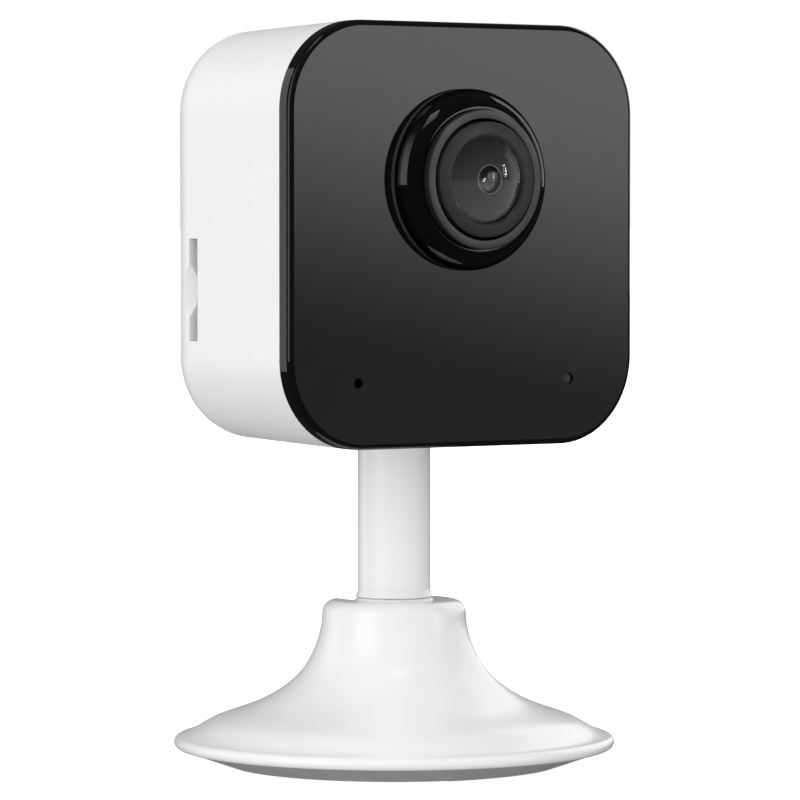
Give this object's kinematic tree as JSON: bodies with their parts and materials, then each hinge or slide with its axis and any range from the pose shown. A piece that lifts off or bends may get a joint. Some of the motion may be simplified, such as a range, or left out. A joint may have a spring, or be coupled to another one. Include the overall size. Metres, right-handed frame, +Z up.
{
  "type": "security camera",
  "caption": "Small desktop security camera: square glossy front with a domed lens ring, white rounded body, round stem on a fold-back ball joint and a round weighted base.",
  "frame": {"origin": "centre of the base's underside, on the stem's axis, on the surface that the camera stands on", "axes": "+Z up along the stem; the lens faces -Y; +X is the right-hand side seen from the front"},
  "size_m": [0.064, 0.064, 0.1073],
  "materials": {
    "white_shell": "satin white moulded plastic",
    "grey_plastic": "matt grey moulded plastic",
    "grey_rubber": "matt grey rubber",
    "steel": "zinc plated steel",
    "black_nylon": "matt black nylon",
    "black_plastic": "matt black plastic",
    "black_tape": "black foam tape",
    "smoked_panel": "polished smoked plastic",
    "gloss_black": "polished black plastic",
    "bezel_black": "satin black plastic",
    "barrel_black": "satin black plastic",
    "lens_glass": "coated optical glass",
    "tinted_glass": "infrared filter glass",
    "magnet_dark": "nickel plated magnet",
    "copper_coil": "enamelled copper wire",
    "chip_black": "black moulded package",
    "circuit_board": "green solder mask",
    "lamp_clear": "clear epoxy",
    "light_pipe": "clear plastic",
    "nickel": "nickel plated steel",
    "thermal_pad": "soft silicone",
    "aluminium": "plain aluminium",
    "ribbon": "white flat cable",
    "speaker_cone": "black film cone"
  },
  "bodies": {
    "base": {"base_shell": "white_shell", "base_plate": "grey_plastic", "foot_pads": "grey_rubber", "base_weight": "steel", "base_screws": "steel", "socket_cup": "black_nylon", "cup_screws": "steel"},
    "ball": {"pivot_ball": "white_shell"},
    "head": {"swivel_washer": "steel", "swivel_screw": "steel", "stem": "white_shell", "stem_pin": "steel", "rear_housing": "white_shell", "front_panel": "smoked_panel", "panel_adhesive": "black_tape", "front_frame": "black_plastic", "frame_screws": "steel", "lens_ring": "gloss_black", "lens_bezel": "bezel_black", "lens_barrel": "barrel_black", "front_lens": "lens_glass", "middle_lens": "lens_glass", "rear_lens": "lens_glass", "aperture_plate": "black_plastic", "lens_holder": "black_plastic", "ircut_cover": "black_plastic", "ircut_stator": "copper_coil", "image_sensor": "chip_black", "sensor_board": "circuit_board", "holder_screws": "steel", "front_board": "circuit_board", "front_board_screws": "steel", "ir_leds": "lamp_clear", "status_led": "lamp_clear", "light_pipe": "light_pipe", "light_sensor": "lamp_clear", "microphone": "nickel", "mic_boot": "grey_rubber", "main_board": "circuit_board", "board_screws": "steel", "processor": "chip_black", "thermal_pad": "thermal_pad", "heat_spreader": "aluminium", "wifi_antenna": "nickel", "sensor_ribbon": "ribbon", "usb_shell": "nickel", "usb_tongue": "black_plastic", "card_socket": "black_plastic", "card_cover": "nickel", "reset_switch": "chip_black", "speaker_frame": "steel", "speaker_magnet": "magnet_dark", "speaker_cone": "speaker_cone", "speaker_gasket": "black_tape"},
    "filter_carriage": {"ircut_carriage": "black_plastic", "ircut_filter": "tinted_glass", "ircut_clear_glass": "lens_glass"},
    "filter_rotor": {"ircut_rotor": "magnet_dark"},
    "card_slide": {"card_slider": "black_plastic"},
    "button": {"reset_button": "white_shell"}
  },
  "joints": [
    {"name": "tilt", "type": "hinge", "parent": "base", "child": "ball", "pos_m": [0, 0, 0.0186], "axis": [-1, 0, 0], "range_deg": [0, 75]},
    {"name": "pan", "type": "hinge", "parent": "ball", "child": "head", "pos_m": [0, 0, 0.0186], "axis": [0, 0, 1], "continuous": true},
    {"name": "filter_turn", "type": "hinge", "parent": "head", "child": "filter_rotor", "pos_m": [0, -0.004, 0.0775], "axis": [0, -1, 0], "range_deg": [0, 70]},
    {"name": "filter_slide", "type": "slide", "parent": "head", "child": "filter_carriage", "axis": [-1, 0, 0], "range_m": [0, 0.00459]},
    {"name": "card_push", "type": "slide", "parent": "head", "child": "card_slide", "axis": [1, 0, 0], "range_m": [0, 0.001], "stiffness_N_per_m": 400, "springref_m": -0.0003},
    {"name": "button_press", "type": "slide", "parent": "head", "child": "button", "axis": [0, -1, 0], "range_m": [0, 0.0004], "stiffness_N_per_m": 1500, "springref_m": -0.0002}
  ],
  "couplings": [
    {"joint": "filter_turn", "follows": "filter_slide", "rad_per_m": 266.25}
  ]
}
